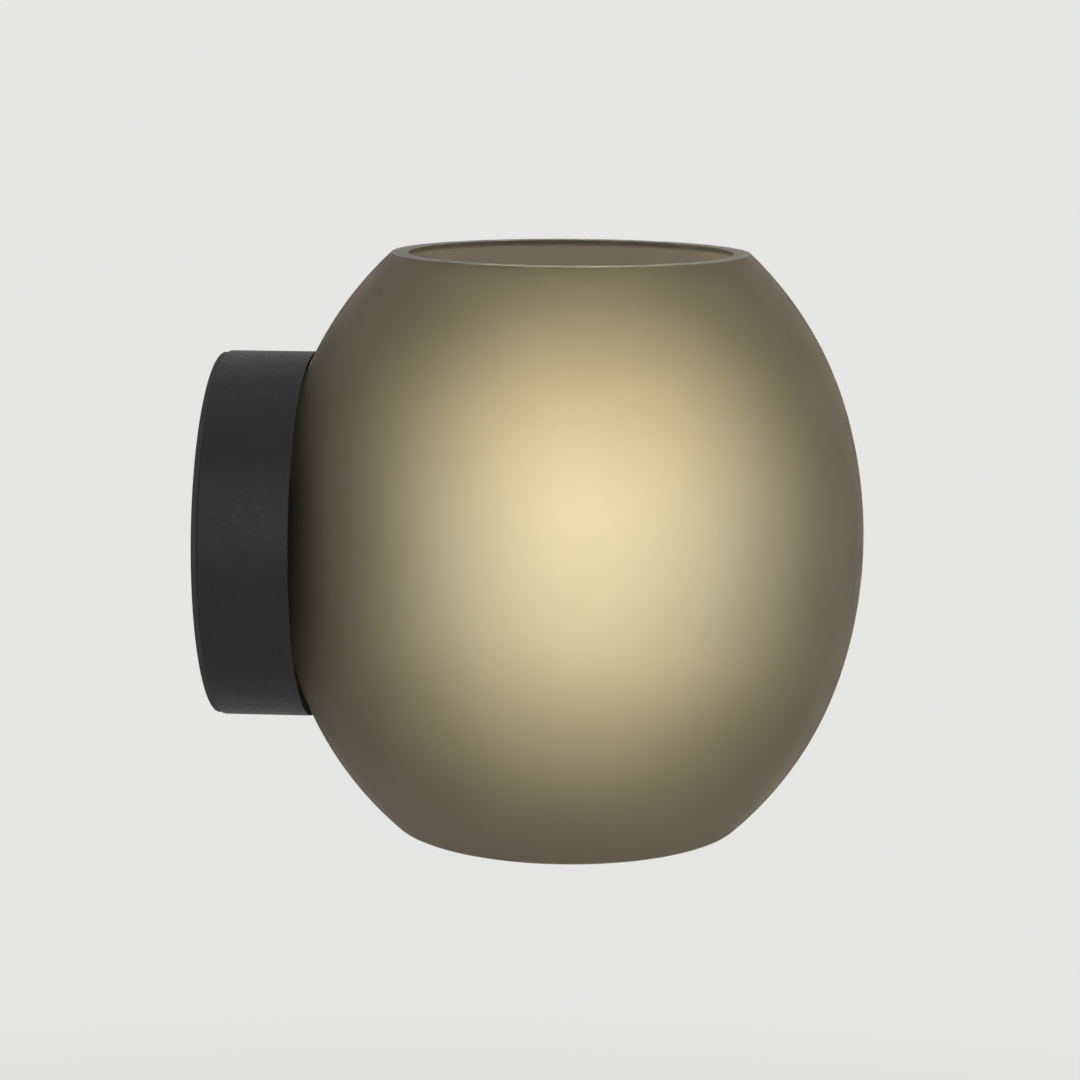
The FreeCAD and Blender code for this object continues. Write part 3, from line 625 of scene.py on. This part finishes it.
def make_canopy():
    floor = around("lampholder_body").near
    inner_r = CANOPY_R - CANOPY_WALL
    back_pocket = POCKET_R + CANOPY_WALL
    front = dish(CANOPY_R, POCKET_R, 0.0)
    front[0] = (CANOPY_R, CANOPY_DEPTH, 0.55 * MM)
    front[-1] = (*front[-1][:2], 0.3 * MM)
    back = dish(back_pocket, inner_r, CANOPY_WALL)
    corners = [(CANOPY_R, CANOPY_BACK, 0.45 * MM)] + front + [
        (POCKET_R, floor, 0.3 * MM), (NIPPLE_R, floor, 0.2 * MM),
        (NIPPLE_R, floor - CANOPY_WALL, 0.2 * MM), (back_pocket, floor - CANOPY_WALL, 0.8 * MM)]
    corners += back + [(inner_r, CANOPY_BACK, 0.3 * MM)]
    canopy = turned("canopy_cup", on_mount, soften(corners, 6), 256)
    reach = CANOPY_R - CANOPY_WALL / 2.0
    combine(canopy, block("canopy_lug", (-LUG_HALF_WIDTH, -LUG_FAR, TAB_TOP),
                          (LUG_HALF_WIDTH, -LUG_NEAR, reach - 0.5 * MM)), "UNION")
    combine(canopy, pole("canopy_boss", CANOPY_BOSS_R, CANOPY_BOSS_R,
                         (0.0, -SCREW_DEPTH, -reach), (0.0, -SCREW_DEPTH, -TAB_TOP)), "UNION")
    face = SCREW_SINK - CANOPY_R
    for radii, low, high in (((SCREW_R, SCREW_R), -CANOPY_R - MM, MM - TAB_TOP),
                             ((SCREW_HEAD_R, SCREW_R), face, face + SCREW_HEAD_T),
                             ((SCREW_HEAD_R, SCREW_HEAD_R), -CANOPY_R - MM, face)):
        combine(canopy, pole("screw_way", *radii, (0.0, -SCREW_DEPTH, low),
                             (0.0, -SCREW_DEPTH, high)), "DIFFERENCE")
    finish_piece(canopy, "fixture", "canopy")


def make_wall_gasket():
    near, far, radius = around("wall_gasket")
    inner = radius - GASKET_WIDTH
    corners = [(radius, near, 0.15 * MM), (radius, far, 0.35 * MM),
               (inner, far, 0.35 * MM), (inner, near, 0.15 * MM)]
    finish_piece(turned("wall_seal", on_mount, soften(corners), 192), "fixture", "wall_gasket")


def make_grommet():
    low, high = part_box("cable_grommet")
    near, far, lip = -high.y, -low.y, high.x

    def at_cable(radius, angle, depth):
        return (radius * math.cos(angle), -depth, CABLE_Z + radius * math.sin(angle))

    corners = [(GROMMET_BORE_R, near, 0.4 * MM), (GROMMET_NECK_R, near, 0.2 * MM),
               (GROMMET_NECK_R, PLATE_T, 0.0), (lip, PLATE_T, 0.1 * MM), (lip, far, 0.9 * MM),
               (GROMMET_BORE_R, far, 0.5 * MM)]
    finish_piece(turned("grommet", at_cable, soften(corners), 96), "fixture", "cable_grommet")


# ---- Lampholder ----
def make_holder():
    near, far, radius = around("lampholder_body")
    floor = near + HOLDER_BASE
    threaded = (around("clamp_gasket").near + MM, far - 1.2 * MM)

    def holder_shape(angle, r, depth):
        if r < radius - MM:
            return r
        fall = 1.0 - thread_wave(angle, depth, RING_PITCH, THREAD_FLANK)
        return r - RING_THREAD * fall * within(depth, *threaded, HOLDER_LEAD)

    corners = [(NIPPLE_R, near, 0.0), (radius, near, 0.0)]
    corners += run(radius, near + 0.5 * MM, far - 0.9 * MM, 0.25 * MM)
    corners += [(radius, far, 0.7 * MM), (HOLDER_BORE_R, far, 0.5 * MM),
                (HOLDER_BORE_R, floor, 0.5 * MM), (NIPPLE_R, floor, 0.0)]
    holder = turned("lampholder_sleeve", on_mount, soften(corners), 128, holder_shape)
    finish_piece(holder, "fixture", "lampholder_body")


def make_shade_ring():
    near, far, radius = around("shade_ring")
    bore = around("lampholder_body").radius + RING_PLAY
    flange = near + RING_FLANGE_T

    def ring_shape(angle, r, depth):
        if r > RING_HUB_R + 0.1 * MM:
            return r
        if r > (bore + RING_HUB_R) / 2.0:
            off = (angle * RING_RIBS / FULL_TURN + 0.5) % 1.0 - 0.5
            off *= FULL_TURN / RING_RIBS * RING_HUB_R / RING_RIB_R
            rise = math.sqrt(max(0.0, 1.0 - off * off))
            return r + RING_RIB_R * rise * smooth_step((far - depth) / MM)
        wave = thread_wave(angle, depth, RING_PITCH, THREAD_FLANK)
        crest = max(0.0, 1.0 - wave / RING_ROOT)
        return r - RING_BORE_THREAD * crest * within(depth, near, far, RING_LEAD)

    corners = [(bore, near, 0.0), (radius, near, 0.4 * MM), (radius, flange, 0.8 * MM)]
    corners += [(RING_HUB_R, flange, 0.0)]
    corners += run(RING_HUB_R, flange + 0.1 * MM, far - 0.4 * MM, 0.5 * MM)
    corners += [(RING_HUB_R - 0.4 * MM, far, 0.2 * MM), (bore, far, 0.0)]
    corners += run(bore, far - 0.2 * MM, near + 0.2 * MM, 0.25 * MM)
    ring = turned("shade_nut", on_mount, soften(corners), 288, ring_shape)
    finish_piece(ring, "shade_ring", "shade_ring")


def make_thread_shell():
    near, far, lip = around("thread_shell")
    sleeve = SHELL_BORE_R + SHEET_T

    def shell_shape(angle, r, depth):
        fall = 1.0 - thread_wave(angle, depth, LAMP_PITCH)
        return r - SHELL_THREAD * fall * within(depth, near, far - MM, LAMP_LEAD)

    corners = run(SHELL_BORE_R, near, far - 0.3 * MM, 0.3 * MM)
    corners += [(SHELL_BORE_R, far, 0.25 * MM), (lip, far, 0.2 * MM),
                (lip, far - 0.5 * MM, 0.1 * MM)]
    corners += run(sleeve, far - 0.5 * MM, near, 0.3 * MM)
    shell = turned("socket_shell", on_mount, soften(corners), 96, shell_shape)
    finish_piece(shell, "fixture", "thread_shell")


def make_nipple():
    near, far, radius = around("mounting_nipple")

    def nipple_shape(angle, r, depth):
        if r < radius - 0.6 * MM:
            return r
        fall = 1.0 - thread_wave(angle, depth, NIPPLE_PITCH, 0.6)
        return r - NIPPLE_THREAD * (1.0 - (1.0 - fall) * within(depth, near, far, NIPPLE_LEAD))

    corners = [(NIPPLE_BORE_R, near, 0.3 * MM)] + run(radius, near, far, 0.1 * MM)
    corners += [(NIPPLE_BORE_R, far, 0.3 * MM)]
    nipple = turned("threaded_nipple", on_mount, soften(corners), 64, nipple_shape)
    finish_piece(nipple, "fixture", "mounting_nipple")


# ---- Lamp ----
def make_bulb():
    _, tip, radius = around("lamp_bulb")
    rim = around("lamp_cap").far
    centre = tip - radius

    def face(inset, count=40):
        """From the neck along the cone and round the ball to the tip."""
        neck = LAMP_NECK_R - inset
        ball = radius - inset
        slope = math.atan2(centre - rim, neck) - math.acos(ball / math.hypot(neck, centre - rim))
        return [(neck, rim, 2.0 * MM)] + [
            (r, depth, 0.0) for r, depth in arc((0.0, centre), ball, -slope, math.pi / 2.0, count)]

    inner = face(LAMP_GLASS)
    inner[0] = (LAMP_SLEEVE_R - LAMP_GLASS, rim + LAMP_GLASS, 0.5 * MM)
    corners = [(LAMP_SLEEVE_R, rim - CAP_OVERLAP, 0.0), (LAMP_SLEEVE_R, rim, 0.5 * MM)]
    corners += face(0.0) + list(reversed(inner))
    corners += [(LAMP_SLEEVE_R - LAMP_GLASS, rim - CAP_OVERLAP, 0.0)]
    finish_piece(turned("bulb", on_mount, soften(corners), 160), "lamp", "lamp_bulb")


def make_cap():
    near, far, radius = around("lamp_cap")
    root = radius - LAMP_THREAD

    def cap_shape(angle, r, depth):
        crest = thread_wave(angle, depth, LAMP_PITCH)
        return r + LAMP_THREAD * crest * within(depth, near + MM, far - 3.0 * MM, LAMP_LEAD)

    corners = run(root, near, far - 2.0 * MM, 0.3 * MM)
    corners += [(radius, far - 1.2 * MM, 0.6 * MM), (radius, far, 0.2 * MM),
                (radius - CAP_T, far, 0.1 * MM), (radius - CAP_T, far - 1.2 * MM, 0.5 * MM)]
    corners += run(root - CAP_T, far - 2.0 * MM, near, 0.3 * MM)
    finish_piece(turned("cap", on_mount, soften(corners), 96, cap_shape), "lamp", "lamp_cap")


def make_insulator():
    near, far, _ = around("lamp_insulator")
    cap = around("lamp_cap")
    edge = cap.radius - LAMP_THREAD - 0.5 * MM
    corners = [(0.0, near, 0.0), (INSULATOR_TIP_R, near, 0.5 * MM),
               (INSULATOR_SHOULDER_R, near + 0.9 * MM, MM), (edge, cap.near - 0.4 * MM, 0.8 * MM),
               (edge, far, 0.0), (0.0, far, 0.0)]
    piece = turned("cap_glass", on_mount, soften(corners), 96)
    finish_piece(piece, "lamp", "lamp_insulator")


def make_lamp_contact():
    near, far, radius = around("lamp_contact")
    dome = [(radius * math.sin(a), far - (far - near) * math.cos(a), 0.0)
            for a in (math.pi / 2.0 * index / 12 for index in range(13))]
    piece = turned("tip_solder", on_mount, soften(dome + [(0.0, far, 0.0)]), 64)
    finish_piece(piece, "lamp_tip", "lamp_contact")


# ---- Pieces whose CAD shape is right, with their hard edges rounded ----
EDGE_WIDTHS = {
    "wall_plate": 0.3, "canopy_screw": 0.12, "contact_carrier": 0.3, "centre_contact": 0.08,
    "shell_contact": 0.08, "holder_terminals": 0.2, "holder_terminal_screws": 0.15,
    "nipple_nut": 0.3, "lock_washer": 0.1, "terminal_block": 0.3, "terminal_clamps": 0.1,
    "terminal_screws": 0.12, "block_screw": 0.15, "earth_terminal": 0.12, "earth_washer": 0.12,
    "earth_screw": 0.25,
}


def make_bevelled(node, width):
    """A copy of a CAD node with its hard edges rounded by a width in millimetres."""
    bm = bmesh.new()
    bm.from_mesh(NODES[node].data)
    bmesh.ops.remove_doubles(bm, verts=bm.verts, dist=0.001 * MM)
    bmesh.ops.dissolve_limit(bm, angle_limit=math.radians(0.5), verts=bm.verts, edges=bm.edges)
    mesh = bpy.data.meshes.new(node + "_eased")
    bm.to_mesh(mesh)
    bm.free()
    piece = link(bpy.data.objects.new(node + "_eased", mesh))
    bevel = piece.modifiers.new("edges", "BEVEL")
    bevel.width = width * MM
    bevel.segments = 2
    bevel.limit_method = "ANGLE"
    bevel.angle_limit = math.radians(40.0)
    bpy.context.view_layer.update()
    shade(apply_modifiers(piece), 30.0)
    finish_piece(piece, "fixture", node)


def dress_cad():
    """The CAD nodes that stay get their finish."""
    for name, obj in NODES.items():
        obj.data.materials.clear()
        obj.data.materials.append(MATERIALS[SLOTS[name]])


# ---- Stage ----
FLOOR_DROP = 1.0
FLOOR_R = 30.0
FLOOR_COLOR = (0.8, 0.8, 0.795)
FLOOR_NEAR = 0.6              # where the floor starts to fade into the backdrop
FLOOR_FAR = 2.4
BACKDROP = (0.79, 0.79, 0.785)
WORLD_LIGHT = 0.8
LAMPS = {                     # azimuth and elevation in degrees, distance, size, power in watts
    "key": (-95.0, 18.0, 2.0, 1.2, 14.0),
    "top": (0.0, 85.0, 2.0, 1.6, 4.0),
    "bounce": (-88.0, -50.0, 1.2, 0.8, 1.8),
}


def seen_directly(nodes, links):
    """1 for the rays that show the backdrop: the camera's, and those through gloss or glass."""
    path = nodes.new("ShaderNodeLightPath")
    either = path.outputs["Is Camera Ray"]
    for name in ("Is Glossy Ray", "Is Transmission Ray"):
        larger = nodes.new("ShaderNodeMath")
        larger.operation = "MAXIMUM"
        links.new(either, larger.inputs[0])
        links.new(path.outputs[name], larger.inputs[1])
        either = larger.outputs["Value"]
    return either


def make_floor():
    """A pale floor whose far part fades into the backdrop."""
    bm = bmesh.new()
    bmesh.ops.create_circle(bm, cap_ends=True, segments=96, radius=FLOOR_R)
    mesh = bpy.data.meshes.new("floor")
    bm.to_mesh(mesh)
    bm.free()
    floor = link(bpy.data.objects.new("floor", mesh))
    floor.location = (0.0, 0.0, -FLOOR_DROP)
    m = Material("floor_pale", FLOOR_COLOR, 0.8)
    m.join(m.mottled(FLOOR_COLOR, 0.0125, 0.6), "Base Color")
    distance = m.length(m.along("X"), m.along("Y"))
    far = m.span(distance, 0.0, 1.0, FLOOR_NEAR, FLOOR_FAR)
    amount = m.math("MULTIPLY", far, seen_directly(m.nodes, m.links))
    glow = m.nodes.new("ShaderNodeEmission")
    glow.inputs["Color"].default_value = (*BACKDROP, 1.0)
    mix = m.nodes.new("ShaderNodeMixShader")
    m.links.new(amount, mix.inputs["Fac"])
    m.links.new(m.shader.outputs["BSDF"], mix.inputs[1])
    m.links.new(glow.outputs["Emission"], mix.inputs[2])
    m.links.new(mix.outputs["Shader"], m.nodes["Material Output"].inputs["Surface"])
    floor.data.materials.append(m.material)


def make_world():
    world = bpy.data.worlds.new("studio")
    bpy.context.scene.world = world
    world.use_nodes = True
    nodes = world.node_tree.nodes
    links = world.node_tree.links
    lighting = nodes["Background"]
    lighting.inputs["Color"].default_value = (*BACKDROP, 1.0)
    lighting.inputs["Strength"].default_value = WORLD_LIGHT
    seen = nodes.new("ShaderNodeBackground")
    seen.inputs["Color"].default_value = (*BACKDROP, 1.0)
    mix = nodes.new("ShaderNodeMixShader")
    links.new(seen_directly(nodes, links), mix.inputs["Fac"])
    links.new(lighting.outputs["Background"], mix.inputs[1])
    links.new(seen.outputs["Background"], mix.inputs[2])
    links.new(mix.outputs["Shader"], nodes["World Output"].inputs["Surface"])


def softbox(name, azimuth, elevation, distance, size, power):
    """A square area lamp that looks at the globe's centre."""
    data = bpy.data.lights.new(name, "AREA")
    data.shape = "SQUARE"
    data.size = size
    data.energy = power
    lamp = link(bpy.data.objects.new(name, data))
    back = back_direction(azimuth, elevation)
    lamp.location = Vector((0.0, -GLOBE_DEPTH, 0.0)) + distance * back
    lamp.rotation_euler = (-back).to_track_quat("-Z", "Y").to_euler()


make_camera()
dress_cad()
make_glass()
make_canopy()
make_wall_gasket()
make_grommet()
make_holder()
make_shade_ring()
make_thread_shell()
make_nipple()
make_bulb()
make_cap()
make_insulator()
make_lamp_contact()
for node, width in EDGE_WIDTHS.items():
    make_bevelled(node, width)
make_floor()
make_world()
for lamp_name, setting in LAMPS.items():
    softbox(lamp_name, *setting)
